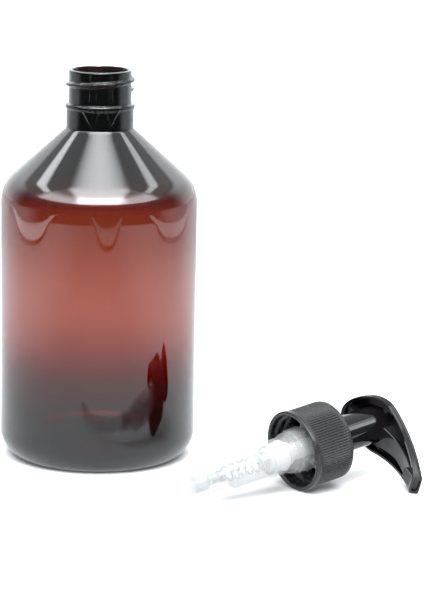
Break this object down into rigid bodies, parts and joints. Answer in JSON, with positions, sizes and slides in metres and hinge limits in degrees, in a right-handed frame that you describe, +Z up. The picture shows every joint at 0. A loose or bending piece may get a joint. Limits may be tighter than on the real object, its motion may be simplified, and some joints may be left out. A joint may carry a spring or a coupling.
{
  "type": "pump bottle",
  "caption": "Open amber plastic bottle with a threaded neck, and its black dispenser pump with ribbed collar, spout and clear dip tube lying beside it.",
  "frame": {"origin": "centre of the bottle's foot ring, on the surface that the bottle and the pump stand on", "axes": "+Z up the bottle's axis; the lying pump's axis is in a plane parallel to XZ, with its head towards +X"},
  "size_m": [0.1817, 0.1617, 0.1558],
  "materials": {
    "amber_pet": "clear amber, blown, glossy",
    "black_collar": "semi-gloss, fine grip ribs",
    "black_gloss": "polished moulding",
    "natural_plastic": "translucent natural moulding",
    "clear_tube": "clear extruded tube",
    "white_plastic": "satin",
    "soft_white": "soft foam liner",
    "spring_steel": "drawn stainless wire",
    "ball_glass": "polished ball"
  },
  "bodies": {
    "bottle": {"bottle": "amber_pet"},
    "pump": {"housing": "natural_plastic", "chaplet": "black_gloss", "gasket": "soft_white", "dip_tube": "clear_tube", "spring": "spring_steel"},
    "collar": {"collar": "black_collar"},
    "plunger": {"stem": "white_plastic", "piston_core": "white_plastic"},
    "piston": {"piston": "white_plastic"},
    "head": {"actuator_head": "black_gloss"},
    "ball": {"inlet_ball": "ball_glass"}
  },
  "joints": [
    {"name": "pump_lift", "type": "slide", "parent": "bottle", "child": "pump", "axis": [0, 0, 1], "range_m": [0, 0.2]},
    {"name": "collar_spin", "type": "hinge", "parent": "pump", "child": "collar", "pos_m": [0.0303, -0.0894, 0.01575], "axis": [0.9905, 0, 0.1374], "continuous": true},
    {"name": "press", "type": "slide", "parent": "pump", "child": "plunger", "axis": [0.9905, 0, 0.1374], "range_m": [-0.011, 0], "stiffness_N_per_m": 450, "springref_m": 0.008, "deforming": ["spring"]},
    {"name": "swivel", "type": "hinge", "parent": "plunger", "child": "head", "pos_m": [0.0303, -0.0894, 0.01575], "axis": [0.9905, 0, 0.1374], "continuous": true},
    {"name": "piston_slip", "type": "slide", "parent": "plunger", "child": "piston", "axis": [0.9905, 0, 0.1374], "range_m": [0, 0.0012]},
    {"name": "ball_lift", "type": "slide", "parent": "pump", "child": "ball", "axis": [0.9905, 0, 0.1374], "range_m": [0, 0.0009]}
  ]
}
